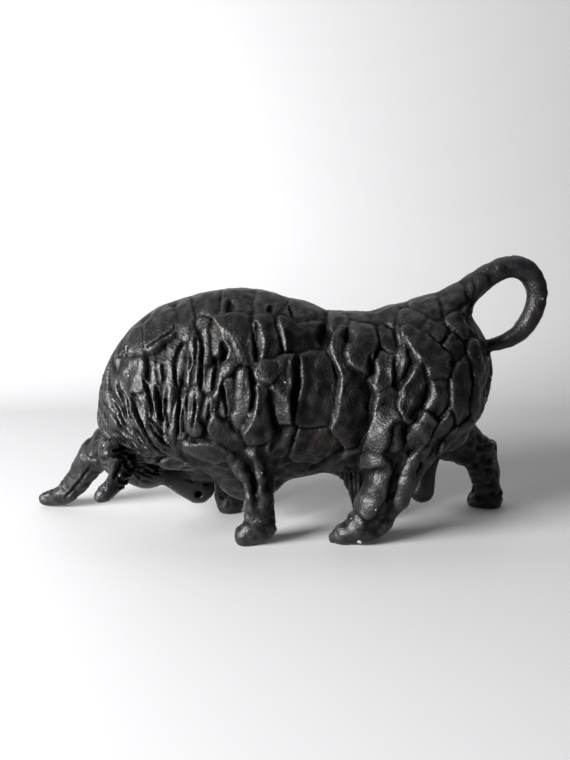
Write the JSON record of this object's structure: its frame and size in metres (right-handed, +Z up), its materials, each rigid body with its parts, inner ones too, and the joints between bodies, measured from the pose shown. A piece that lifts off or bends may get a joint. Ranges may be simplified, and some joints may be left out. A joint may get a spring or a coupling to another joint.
{
  "type": "bull sculpture",
  "caption": "Cast iron charging bull: head tucked down, horns forward, mane cut in deep folds, flanks built of pressed slabs, tail curled into a ring.",
  "frame": {"origin": "middle of the bounding box on the ground, under the hooves", "axes": "+X from the head to the tail, +Y towards the bull's right flank, +Z up"},
  "size_m": [0.329, 0.1068, 0.1693],
  "materials": {
    "black_iron": "satin black paint over the rough casting skin, rubbed to grey on the ridges, with small pale chips and specks of rust"
  },
  "bodies": {
    "root": {"bull": "black_iron"}
  },
  "joints": []
}
